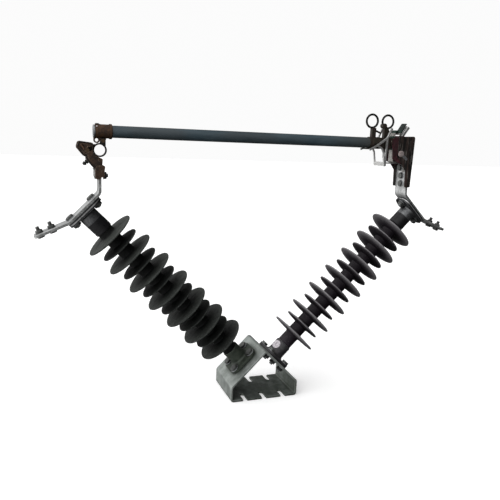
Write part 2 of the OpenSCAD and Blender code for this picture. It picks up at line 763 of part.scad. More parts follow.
module contact_strip() {
    color("#33443c") difference() {
        slab(strip(strip_path, [8, 6, 5, 4, 4, 2], -strip_t), strip_w);
        translate([upright_x - 10, 0, strip_bolt_z]) rotate([0, 90, 0])
            cylinder(h = 20, d = upright_bolt_d + hole_gap);
    }
}

chute_bolt_c = contact_c + [-29, -1];
chute_bolt_d = 8;
fibre_outline = at(contact_c, [[-59, 43.2], [-0.5, 43.2], [-0.5, -40], [-37, -25.5], [-54, -16]]);

module fibre_plate(side) {
    color("#4a1e24") difference() {
        slab(rounded(fibre_outline, [4, 3, 2, 3, 4]), fibre_t, side * (channel_y - fibre_t / 2));
        cross_bar(chute_bolt_c, chute_bolt_d + hole_gap, 100);
    }
}

module chute_front_plate() {
    fibre_plate(-1);
}

module chute_back_plate() {
    fibre_plate(1);
}

// The contact spring stands square on a slope at the top of the block
spring_d = 14;
spring_foot = contact_c + [-14, 46.7];
spring_top = contact_c + [8, 78.6];
spring_dir = unit(spring_top - spring_foot);
spring_side = [spring_dir.y, -spring_dir.x];

module chute_block() {
    low = at(contact_c, [[-18, 42], [-18, 6], [-0.5, 6], [-0.5, 42]]);
    color("#3a181d") slab(concat(low, [spring_foot + 8 * spring_side, spring_foot - 7 * spring_side]),
        2 * (channel_y - fibre_t));
}

module chute_bolt() {
    y = channel_y + channel_t;
    color("#b7b0b0") translate([chute_bolt_c.x, -y, chute_bolt_c.y]) rotate([-90, 0, 0])
        bolt(chute_bolt_d, 2 * y, 3);
}

module contact_spring() {
    wire = 2.4;
    turns = 11;
    l = norm(spring_top - spring_foot);
    turn = atan2(spring_dir.x, spring_dir.y);
    color("#b9bab8") translate([spring_foot.x, 0, spring_foot.y]) rotate([0, turn, 0]) {
        cylinder(h = l, d = spring_d - 2 * wire + 1);
        for (i = [0 : turns - 1]) translate([0, 0, wire / 2 + i * (l - wire) / (turns - 1)])
            rotate_extrude() translate([spring_d / 2 - wire / 2, 0]) circle(d = wire, $fn = 16);
    }
}

// Upper face of a hook's bar, from its tip to its top, and inner face of its leg
hook_y = channel_y - horn_d / 2;
hook_foot = [-82.5, -38];
horn_path = at(contact_c, [[-133, 10], [-109.5, 22.5], [-77, 45], [-65, 72]]);
horn_leg_path = at(contact_c, [[-107, 22], [-90, 14.5], [-84, 2], [-77.5, -38]]);

module load_break_hooks() {
    color("#c6c6c4") difference() {
        union() {
            for (side = [-1, 1]) {
                slab(strip(horn_path, [20, 15], -horn_d), horn_d, side * hook_y);
                slab(strip(horn_leg_path, [12, 10], -horn_d + 1), horn_d, side * hook_y);
            }
            // Upright of the front hook
            slab(at(contact_c, [[-73.5, 43], [-78.5, 43], [-81, -38], [-75.5, -38]]), horn_d, -hook_y);
            // Cross bar that joins the legs, on the end of the leaf
            slab(at(contact_c, [hook_foot, hook_foot + [6, 0], hook_foot + [6, 11.5], hook_foot + [0, 11.5]]),
                2 * hook_y + horn_d);
            slab(strip(concat(foot_path, [contact_c + [-80, -28]]), [8], hook_leaf_t), 18);
        }
        translate([upright_x - 20, 0, strip_bolt_z]) rotate([0, 90, 0])
            cylinder(h = 20, d = upright_bolt_d + hole_gap);
    }
}

mounting_bracket();
hinge_insulator();
hinge_lower_fitting();
hinge_upper_fitting();
contact_insulator();
contact_lower_fitting();
contact_upper_fitting();
hinge_base_bolts();
contact_base_bolts();
fitting_plug();
hinge_arm();
contact_arm();
hinge_flange_bolts();
contact_flange_bolts();
hinge_terminal_bolts();
contact_terminal_bolts();
hinge_casting();
hinge_clamp_bolt();
hinge_leaf_spring();
link_stud();
trunnion_casting();
trunnion_pins();
toggle_pin();
lower_ferrule();
ferrule_bolt();
fuse_tube();
upper_casting();
pull_ring();
lift_ring();
contact_cap();
contact_channel();
channel_bolts();
contact_strip();
contact_spring();
chute_front_plate();
chute_back_plate();
chute_block();
chute_bolt();
load_break_hooks();
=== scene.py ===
import json
import math

import bmesh
import bpy
import numpy as np
from mathutils import Matrix, Vector


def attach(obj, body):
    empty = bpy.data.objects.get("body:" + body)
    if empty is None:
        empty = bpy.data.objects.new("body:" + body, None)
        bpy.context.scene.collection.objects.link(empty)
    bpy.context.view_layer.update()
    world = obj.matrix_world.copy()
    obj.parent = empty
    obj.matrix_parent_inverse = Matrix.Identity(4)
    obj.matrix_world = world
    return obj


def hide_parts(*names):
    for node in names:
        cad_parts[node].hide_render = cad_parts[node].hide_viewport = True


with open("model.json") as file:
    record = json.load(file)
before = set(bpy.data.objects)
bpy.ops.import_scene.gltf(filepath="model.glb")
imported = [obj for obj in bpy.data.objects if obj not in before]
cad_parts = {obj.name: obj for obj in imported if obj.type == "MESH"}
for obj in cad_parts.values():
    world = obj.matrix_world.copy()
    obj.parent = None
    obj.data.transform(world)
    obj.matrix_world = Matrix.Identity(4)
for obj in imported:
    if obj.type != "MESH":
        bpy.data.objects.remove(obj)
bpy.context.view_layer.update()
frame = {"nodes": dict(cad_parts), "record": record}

NODES = frame["nodes"]
MM = 0.001

# --- Camera, as found for the photographed view ---
CAMERA_PLACE = Vector((-0.5934, -1.5040, 0.7326))
CAMERA_YAW = math.radians(20.38)
CAMERA_DOWN = math.radians(11.06)
CAMERA_ROLL = math.radians(2.37)
CAMERA_LENS = 41.94
CAMERA_SENSOR = 36.0


def make_camera():
    """The camera from its place, its turns and its lens."""
    data = bpy.data.cameras.new("camera")
    data.lens = CAMERA_LENS
    data.sensor_width = CAMERA_SENSOR
    camera = bpy.data.objects.new("camera", data)
    turn = Matrix.Rotation(-CAMERA_YAW, 4, "Z")
    turn = turn @ Matrix.Rotation(math.pi / 2 - CAMERA_DOWN, 4, "X")
    turn = turn @ Matrix.Rotation(CAMERA_ROLL, 4, "Z")
    camera.matrix_world = Matrix.Translation(CAMERA_PLACE) @ turn
    bpy.context.collection.objects.link(camera)
    bpy.context.scene.camera = camera


# --- Stage and light ---
FLOOR_SIZE = 30
FLOOR_DROP = 0.5 * MM
FLOOR_WHITE = 0.9
FLOOR_GLOW = 0.3
SKY_WHITE = 0.97
LIGHT_FROM = Vector((-0.9, -0.2, 0.38)).normalized()
LIGHT_EDGE = -0.2
LIGHT_DIM, LIGHT_BRIGHT = 0.05, 2.5


def make_stage():
    """A pale floor under the object."""
    bpy.ops.mesh.primitive_plane_add(size=FLOOR_SIZE, location=(0, 0, -FLOOR_DROP))
    floor = bpy.context.object
    floor.name = "floor"
    mat = bpy.data.materials.new("pale_floor")
    mat.use_nodes = True
    shader = mat.node_tree.nodes["Principled BSDF"]
    shader.inputs["Base Color"].default_value = (FLOOR_WHITE, FLOOR_WHITE, FLOOR_WHITE, 1)
    shader.inputs["Roughness"].default_value = 0.9
    shader.inputs["Emission Color"].default_value = (1, 1, 1, 1)
    shader.inputs["Emission Strength"].default_value = FLOOR_GLOW
    floor.data.materials.append(mat)
    # The floor throws no light back up, so the undersides stay dark
    floor.visible_diffuse = False
    floor.visible_glossy = False
    bpy.context.scene.view_settings.view_transform = "Standard"


def make_studio():
    """A soft white studio, seen evenly white, that lights the object mostly from one side."""
    world = bpy.data.worlds.new("studio")
    world.use_nodes = True
    nodes, links = world.node_tree.nodes, world.node_tree.links
    place = nodes.new("ShaderNodeTexCoord")
    along = nodes.new("ShaderNodeVectorMath")
    along.operation = "DOT_PRODUCT"
    along.inputs[1].default_value = LIGHT_FROM
    links.new(place.outputs["Generated"], along.inputs[0])
    shade = nodes.new("ShaderNodeMapRange")
    shade.interpolation_type = "SMOOTHSTEP"
    levels = {"From Min": LIGHT_EDGE, "From Max": 1.0, "To Min": LIGHT_DIM, "To Max": LIGHT_BRIGHT}
    for key, value in levels.items():
        shade.inputs[key].default_value = value
    links.new(along.outputs["Value"], shade.inputs["Value"])
    seen = nodes.new("ShaderNodeLightPath")
    mix = nodes.new("ShaderNodeMix")
    links.new(seen.outputs["Is Camera Ray"], mix.inputs["Factor"])
    links.new(shade.outputs["Result"], mix.inputs["A"])
    mix.inputs["B"].default_value = SKY_WHITE
    links.new(mix.outputs["Result"], nodes["Background"].inputs["Strength"])
    nodes["Background"].inputs["Color"].default_value = (1, 1, 1, 1)
    bpy.context.scene.world = world


# --- Procedural surfaces ---
# Roughly the bands that a wave texture draws for each unit of its scale
WAVE_SPAN = 6


class Surface:
    """A Principled material built node by node, in object coordinates (metres)."""

    def __init__(self, name, metallic=0.0, roughness=0.5, **sockets):
        self.material = bpy.data.materials.new(name)
        self.material.use_nodes = True
        self.tree = self.material.node_tree
        self.shader = self.tree.nodes["Principled BSDF"]
        self.shader.inputs["Metallic"].default_value = metallic
        self.shader.inputs["Roughness"].default_value = roughness
        for key, value in sockets.items():
            self.shader.inputs[key.replace("_", " ")].default_value = value
        self.place = self.add("ShaderNodeTexCoord").outputs["Object"]
        self.normal = None

    def add(self, kind, inputs=None, **settings):
        """A new node with its settings, its inputs linked to sockets or set to values."""
        made = self.tree.nodes.new(kind)
        for key, value in settings.items():
            setattr(made, key, value)
        for key, value in (inputs or {}).items():
            if isinstance(value, bpy.types.NodeSocket):
                self.tree.links.new(value, made.inputs[key])
            else:
                made.inputs[key].default_value = value
        return made

    def stretched(self, scale, turn=(0, 0, 0)):
        """The place, stretched along the axes: small numbers draw long features."""
        mapping = self.add("ShaderNodeMapping", {"Vector": self.place, "Rotation": turn, "Scale": scale})
        return mapping.outputs["Vector"]

    def noise(self, size, detail=4.0, rough=0.55, place=None, twist=0.0):
        """Clouds whose features are about size metres across."""
        inputs = {"Vector": place or self.place, "Scale": 1 / size, "Detail": detail,
                  "Roughness": rough, "Distortion": twist}
        return self.add("ShaderNodeTexNoise", inputs).outputs["Fac"]

    def cells(self, size):
        """A chance colour for each crystal about size metres across."""
        inputs = {"Vector": self.place, "Scale": 1 / size}
        return self.add("ShaderNodeTexVoronoi", inputs, feature="F1").outputs["Color"]

    def waves(self, size, place, twist=0.0):
        """Soft bands about size metres wide, across X of the given place."""
        inputs = {"Vector": place, "Scale": 1 / (WAVE_SPAN * size), "Distortion": twist, "Detail": 2.0}
        return self.add("ShaderNodeTexWave", inputs, bands_direction="X").outputs["Fac"]

    def spread(self, value, low, high, to_low=0.0, to_high=1.0):
        """The value's range low..high taken to to_low..to_high, and held there outside."""
        inputs = {"Value": value, "From Min": low, "From Max": high, "To Min": to_low, "To Max": to_high}
        return self.add("ShaderNodeMapRange", inputs).outputs["Result"]

    def calc(self, operation, *values):
        """A math node's result."""
        inputs = dict(enumerate(values))
        return self.add("ShaderNodeMath", inputs, operation=operation).outputs["Value"]

    def times(self, a, b):
        """The product of two masks, or of a mask and a number."""
        return self.calc("MULTIPLY", a, b)

    def pick(self, vector, axis):
        """One of the vector's three numbers."""
        return self.add("ShaderNodeSeparateXYZ", {"Vector": vector}).outputs[axis]

    def blend(self, amount, a, b):
        """Colour a where amount is 0 and b where it is 1."""
        a, b = [c if isinstance(c, bpy.types.NodeSocket) else (*c, 1.0) for c in (a, b)]
        made = self.add("ShaderNodeMix", {0: amount, 6: a, 7: b}, data_type="RGBA")
        return made.outputs[2]

    def edges(self, radius=1.2 * MM, start=0.03, full=0.25):
        """1 on sharp outer edges, 0 on flats, from how far a rounded normal leans."""
        rounded = self.add("ShaderNodeBevel", {"Radius": radius}, samples=4).outputs["Normal"]
        true = self.add("ShaderNodeNewGeometry").outputs["Normal"]
        lean = self.add("ShaderNodeVectorMath", {0: rounded, 1: true}, operation="DOT_PRODUCT")
        return self.spread(lean.outputs["Value"], 1 - start, 1 - full)

    def upward(self, low=0.2, high=0.95):
        """1 on faces that look up, 0 on the rest."""
        normal = self.add("ShaderNodeNewGeometry").outputs["Normal"]
        return self.spread(self.pick(normal, "Z"), low, high)

    def facing(self, axis, low=0.6, high=0.9):
        """1 on faces that look along X, Y or Z, either way, and 0 on the rest."""
        normal = self.add("ShaderNodeTexCoord").outputs["Normal"]
        return self.spread(self.calc("ABSOLUTE", self.pick(normal, axis)), low, high)

    def inward(self, low, high):
        """1 on faces that look along X towards the middle of the object, 0 on the rest."""
        normal = self.add("ShaderNodeTexCoord").outputs["Normal"]
        return self.spread(self.times(self.pick(normal, "X"), self.pick(self.place, "X")), -low, -high)

    def height(self, low, high, axis="Z"):
        """0 up to the place low along the axis, and 1 from high on."""
        return self.spread(self.pick(self.place, axis), low, high)

    def from_leaning_axis(self, offset):
        """Distance from an insulator's axis, which leans at 45 degrees where |x| - z is the offset."""
        side = self.calc("ABSOLUTE", self.pick(self.place, "X"))
        across = self.calc("SUBTRACT", self.calc("SUBTRACT", side, self.pick(self.place, "Z")), offset)
        inputs = {"X": self.times(across, 1 / math.sqrt(2)), "Y": self.pick(self.place, "Y")}
        both = self.add("ShaderNodeCombineXYZ", inputs).outputs["Vector"]
        return self.add("ShaderNodeVectorMath", {0: both}, operation="LENGTH").outputs["Value"]

    def hollow_grime_and_shade(self, reach=12 * MM, low=0.55, high=0.95):
        """1 deep in corners and recesses, and 0 in the open: the mask for grime and for painted shade there.
        """
        open_share = self.add("ShaderNodeAmbientOcclusion", {"Distance": reach}, samples=6).outputs["AO"]
        return self.spread(open_share, low, high, 1.0, 0.0)

    def between(self, value, low, high, soft):
        """1 where the value is between low and high, fading out over soft at both ends."""
        return self.times(self.spread(value, low, low + soft), self.spread(value, high, high + soft, 1, 0))

    def bump(self, height, depth, strength=1.0):
        """Relief of the given depth in metres, on top of any earlier one."""
        inputs = {"Height": height, "Distance": depth, "Strength": strength}
        if self.normal:
            inputs["Normal"] = self.normal
        self.normal = self.add("ShaderNodeBump", inputs).outputs["Normal"]

    def done(self, colour, roughness=None, metallic=None):
        """The finished material, with its shader linked up."""
        self.tree.links.new(colour, self.shader.inputs["Base Color"])
        if roughness:
            self.tree.links.new(roughness, self.shader.inputs["Roughness"])
        if metallic:
            self.tree.links.new(metallic, self.shader.inputs["Metallic"])
        if self.normal:
            self.tree.links.new(self.normal, self.shader.inputs["Normal"])
        return self.material


def tint(colour, share):
    """The colour made darker or lighter, held under white."""
    return [min(1.0, c * share) for c in colour]


# The heights between which the grime and the painted shade near the ground fade
GRIME_AND_SHADE_FADES = (4 * MM, 12 * MM)


def zinc(name, light, dark, stain, roughness=0.5, metallic=0.75, floor_grime=0.0):
    """Hot-dip galvanised steel: spangle, dull patches, stains, grime with painted shade, and rubbed edges
    with a painted highlight.
    """
    s = Surface(name, metallic)
    spangle = s.cells(9 * MM)
    patches = s.noise(30 * MM, 5, 0.6)
    base = s.blend(s.spread(patches, 0.35, 0.65), dark, light)
    base = s.blend(s.times(s.spread(spangle, 0.2, 0.8), 0.22), base, light)
    base = s.blend(s.times(s.spread(s.noise(70 * MM, 3), 0.5, 0.7), 0.45), base, stain)
    if floor_grime:
        # Grime and painted shade: darker low down and on the inner faces that look towards the middle, where
        # the bracket shades itself
        blotches = s.spread(s.noise(22 * MM, 6, 0.65), 0.36, 0.6, 0.35, 1.0)
        low = s.times(s.spread(s.height(*GRIME_AND_SHADE_FADES), 0, 1, floor_grime, 0.0), blotches)
        base = s.blend(low, base, tint(stain, 0.35))
        inward = s.times(s.inward(0.02, 0.05), blotches)
        base = s.blend(s.times(inward, floor_grime * 0.75), base, tint(stain, 0.35))
    # Painted shade, with grime, in corners and recesses
    base = s.blend(s.times(s.hollow_grime_and_shade(), 0.7), base, tint(stain, 0.3))
    # Paler along the edges: rubbed zinc, and a painted highlight
    base = s.blend(s.times(s.edges(), 0.5), base, tint(light, 1.35))
    s.bump(s.noise(4 * MM, 3), 0.15 * MM)
    s.bump(s.noise(0.9 * MM, 2), 0.04 * MM)
    return s.done(base, s.spread(patches, 0.3, 0.7, roughness - 0.1, roughness + 0.12))


RUBBER = (0.008, 0.008, 0.009)
FLANGE_DARK = (0.035, 0.036, 0.038)
# Back from the flange's face: where its dark metal starts, and the band of painted highlight
FLANGE_START, HIGHLIGHT_BAND_START, HIGHLIGHT_BAND_END = 16 * MM, 10 * MM, 6 * MM


def casting(name, colour, worn, patina, metallic=0.35, roughness=0.55, shine=0.8, flecks=0.0, sleeve=None,
            **sockets):
    """Cast metal: pebbled skin, patina in patches, painted shade in corners, rubbed edges with a painted
    highlight, and painted highlight specks.

    A sleeve, given as the fitting's least and greatest |x| + z, is black rubber drawn over its lower half;
    the flange above it is dark, with a band of painted highlight."""
    s = Surface(name, metallic, **sockets)
    patches = s.noise(12 * MM, 6, 0.62)
    base = s.blend(s.spread(patches, 0.42, 0.66), colour, patina)
    base = s.blend(s.times(s.spread(s.noise(3 * MM, 3), 0.5, 0.75), 0.5), base, tint(colour, 0.35))
    # Painted shade, with some grime, in corners and recesses
    base = s.blend(s.times(s.hollow_grime_and_shade(8 * MM), 0.8), base, tint(colour, 0.2))
    # Paler on rubbed edges: wear, and a painted highlight along the edges
    rubbed = s.times(s.edges(1.5 * MM, 0.02, 0.2), s.spread(s.noise(6 * MM, 3), 0.35, 0.6))
    base = s.blend(s.times(rubbed, shine), base, worn)
    if flecks:
        # Pale streaked specks: a painted highlight
        highlight_streaks = s.noise(6 * MM, 4, 0.7, s.stretched((1, 1, 0.4), (0, -0.6, 0)))
        base = s.blend(s.times(s.spread(highlight_streaks, 0.56, 0.64), flecks), base, worn)
    bare = s.spread(rubbed, 0, 1, metallic, 0.9)
    if sleeve:
        along = s.calc("ADD", s.calc("ABSOLUTE", s.pick(s.place, "X")), s.pick(s.place, "Z"))
        low, high = sleeve
        middle = (low + high) / 2
        above = s.spread(along, middle - 1 * MM, middle + 1 * MM)
        base = s.blend(above, RUBBER, base)
        flange = s.spread(along, high - FLANGE_START, high - FLANGE_START + 2 * MM)
        base = s.blend(flange, base, FLANGE_DARK)
        # A band of painted highlight across the flange
        highlight_band = s.between(along, high - HIGHLIGHT_BAND_START, high - HIGHLIGHT_BAND_END, 1 * MM)
        base = s.blend(s.times(highlight_band, 0.8), base, worn)
        bare = s.times(above, bare)
    s.bump(s.noise(1.2 * MM, 3, 0.6), 0.22 * MM)
    s.bump(s.noise(6 * MM, 2), 0.5 * MM, 0.6)
    return s.done(base, s.spread(patches, 0.3, 0.7, roughness - 0.12, roughness + 0.12), bare)


SHANK_R = 24 * MM
# Out from the axis, where the rims get a painted highlight, and up from the ground, where the painted shade
# at the foot fades
RIM_HIGHLIGHT_BAND = (34 * MM, 62 * MM)
FOOT_SHADE_BAND = (0.2, 0.42)


def silicone(name, colour, bloom, dust, rim_bloom, foot_shade=0.0):
    """Weathered silicone rubber: chalky bloom and dust in the open, painted shade at the shank, in corners
    and towards the foot, painted highlights on the rims.
    """
    s = Surface(name, 0.0, 0.6, Specular_IOR_Level=0.12)
    clouds = s.noise(35 * MM, 5, 0.6)
    streaks = s.noise(10 * MM, 4, 0.6, s.stretched((1, 1, 0.25), (0, math.pi / 4, 0)))
    base = s.blend(s.spread(clouds, 0.38, 0.68), colour, bloom)
    base = s.blend(s.times(s.upward(0.3, 1.0), s.spread(clouds, 0.25, 0.6, 0.35, 0.8)), base, dust)
    # Painted shade towards the foot, where the sheds above shade the lower ones
    foot = s.spread(s.height(*FOOT_SHADE_BAND), 0, 1, 1, 0)
    base = s.blend(s.times(foot, foot_shade), base, tint(colour, 0.6))
    specks = s.spread(s.noise(3.5 * MM, 4, 0.7), 0.54, 0.64)
    base = s.blend(s.times(specks, 0.45), base, tint(dust, 1.5))
    base = s.blend(s.times(s.spread(streaks, 0.5, 0.7), 0.35), base, tint(colour, 0.5))
    out = s.from_leaning_axis(axis_offset())
    # Painted highlight on the outer part of the sheds
    base = s.blend(s.times(s.spread(out, *RIM_HIGHLIGHT_BAND), rim_bloom), base, dust)
    # Painted shade close to the shank, between the sheds
    base = s.blend(s.spread(out, SHANK_R, SHANK_R + 6 * MM, 0.75, 0.0), base, tint(colour, 0.4))
    # Painted shade deep between the sheds
    base = s.blend(s.times(s.hollow_grime_and_shade(50 * MM, 0.35, 0.95), 0.85), base, tint(colour, 0.3))
    # Painted highlight along the sheds' edges
    base = s.blend(s.times(s.edges(1.4 * MM, 0.05, 0.4), 0.7), base, tint(dust, 1.6))
    s.bump(s.noise(1.5 * MM, 3), 0.06 * MM)
    s.bump(s.noise(20 * MM, 2), 0.4 * MM, 0.4)
    return s.done(base, s.spread(streaks, 0.3, 0.7, 0.5, 0.72))


def tinned(name, colour, dull, cut):
    """Tinned bar: fine draw lines, dull specks, painted shade on the sides that face along Y, and a painted
    shade line along each corner.
    """
    s = Surface(name, 0.55)
    lines = s.noise(1.2 * MM, 3, 0.6, s.stretched((0.06, 1, 0.06)))
    patches = s.noise(25 * MM, 5, 0.6)
    base = s.blend(s.spread(patches, 0.4, 0.68), colour, dull)
    base = s.blend(s.times(s.spread(lines, 0.45, 0.7), 0.3), base, dull)
    base = s.blend(s.times(s.spread(s.noise(4.5 * MM, 5, 0.7), 0.52, 0.62), 0.6), base, dull)
    # Painted shade in patches on the sides that face along Y, in the cut colour
    patchy_side_shade = s.spread(s.noise(5 * MM, 5, 0.7), 0.42, 0.62, 1.0, 0.35)
    base = s.blend(s.times(s.facing("Y"), patchy_side_shade), base, cut)
    # A painted shade line along each corner
    base = s.blend(s.times(s.edges(1.5 * MM), 0.6), base, tint(cut, 0.5))
    s.bump(lines, 0.05 * MM)
    s.bump(s.noise(6 * MM, 3), 0.1 * MM)
    return s.done(base, s.spread(patches, 0.3, 0.7, 0.3, 0.5))


# Along X, where the tube turns greyer
FAR_BAND = (0.24, 0.31)


def painted_tube(name, colour, faded, dark, far):
    """Varnished wound glass fibre: crossing windings, fading, runs and a greyer far end."""
    s = Surface(name, 0.0, 0.4, Specular_IOR_Level=0.45, Coat_Weight=0.15, Coat_Roughness=0.25)
    clouds = s.noise(30 * MM, 5, 0.6, s.stretched((0.3, 1, 1)))
    base = s.blend(s.spread(clouds, 0.35, 0.65), colour, faded)
    base = s.blend(s.times(s.spread(s.noise(200 * MM, 2), 0.45, 0.6), 0.5), base, far)
    base = s.blend(s.height(*FAR_BAND, "X"), base, far)
    for lean in (0.9, -0.9):
        winding = s.waves(2.2 * MM, s.stretched((1, 1, 1), (0, lean, 0)), 0.6)
        base = s.blend(s.times(s.spread(winding, 0.55, 0.9), 0.16), base, dark)
        s.bump(winding, 0.06 * MM)
    runs = s.noise(6 * MM, 4, 0.65, s.stretched((0.08, 1, 1)))
    base = s.blend(s.times(s.spread(runs, 0.55, 0.72), 0.5), base, dark)
    s.bump(s.noise(4 * MM, 3), 0.08 * MM)
    return s.done(base, s.spread(clouds, 0.3, 0.7, 0.32, 0.55))


def fibre(name, colour, faded, dark):
    """Vulcanised fibre board: pressed layers, mottling and scorched patches."""
    s = Surface(name, 0.0, 0.5, Specular_IOR_Level=0.4)
    mottle = s.noise(6 * MM, 6, 0.65)
    base = s.blend(s.spread(mottle, 0.38, 0.66), colour, faded)
    base = s.blend(s.times(s.spread(s.noise(20 * MM, 4), 0.5, 0.68), 0.7), base, dark)
    base = s.blend(s.times(s.edges(1 * MM), 0.5), base, faded)
    s.bump(s.noise(1.2 * MM, 3, 0.6, s.stretched((1, 4, 0.3))), 0.08 * MM)
    return s.done(base, s.spread(mottle, 0.3, 0.7, 0.38, 0.6))


def bright_metal(name, colour, dark, roughness=0.3, metallic=0.9):
    """Plated or turned metal: fine scratches, grime in spots, bright edges."""
    s = Surface(name, metallic)
    grime = s.noise(4 * MM, 5, 0.65)
    base = s.blend(s.spread(grime, 0.45, 0.72), colour, dark)
    base = s.blend(s.times(s.edges(0.8 * MM), 0.5), base, tint(colour, 1.3))
    s.bump(s.noise(0.6 * MM, 2), 0.03 * MM)
    return s.done(base, s.spread(grime, 0.35, 0.7, roughness, roughness + 0.25))


# Heights on the contact strip: its flare, and the bands where silver shows
STRIP_FLARE = (0.764, 0.77)
STRIP_SILVER = ((0.6, 0.708), (0.748, 0.757))


def tarnished_strip(name, colour, dark, silver):
    """Spring copper, tarnished green, black on its flare, with silver in two bands; the dark green above the
    lower band is partly painted shade.
    """
    s = Surface(name, 0.75, Specular_IOR_Level=0.15)
    grime = s.noise(4 * MM, 5, 0.65)
    base = s.blend(s.spread(grime, 0.42, 0.68), colour, dark)
    flare = s.height(*STRIP_FLARE)
    base = s.blend(s.times(flare, 0.9), base, dark)
    # The lower silver band stops where shade falls on the strip, so the strip above it is partly painted
    # shade
    for low, high in STRIP_SILVER:
        zone = s.between(s.pick(s.place, "Z"), low, high, 2 * MM)
        base = s.blend(s.times(zone, s.spread(s.noise(3 * MM, 5, 0.7), 0.4, 0.55, 0.35, 1.0)), base, silver)
    base = s.blend(s.times(s.edges(0.8 * MM), 0.5), base, tint(silver, 0.7))
    s.bump(s.noise(0.6 * MM, 2), 0.03 * MM)
    return s.done(base, s.spread(grime, 0.35, 0.7, 0.34, 0.6), s.spread(flare, 0, 1, 0.75, 0.0))


def blackened_plate(name, colour, brown, pale):
    """Blackened sheet with rolling streaks that run upwards and scuffs of bare metal."""
    s = Surface(name, 0.35)
    streaks = s.noise(9 * MM, 5, 0.65, s.stretched((1, 1, 0.09)))
    scuffs = s.noise(5 * MM, 5, 0.7, s.stretched((1, 1, 0.12), (0, 0.12, 0)))
    base = s.blend(s.spread(streaks, 0.45, 0.6), colour, brown)
    base = s.blend(s.times(s.spread(scuffs, 0.56, 0.66), 0.6), base, pale)
    base = s.blend(s.times(s.edges(1 * MM), 0.4), base, pale)
    s.bump(streaks, 0.06 * MM)
    return s.done(base, s.spread(streaks, 0.3, 0.7, 0.38, 0.58))


def axis_offset():
    """|x| - z along the insulators' axes."""
    across = [abs(v.co.x) - v.co.z for v in NODES["contact_insulator"].data.vertices]
    return (min(across) + max(across)) / 2


def fitting_reach():
    """The least and greatest |x| + z of the upper fittings, which stand at 45 degrees."""
    reach = [abs(v.co.x) + v.co.z for v in NODES["contact_upper_fitting"].data.vertices]
    return min(reach), max(reach)


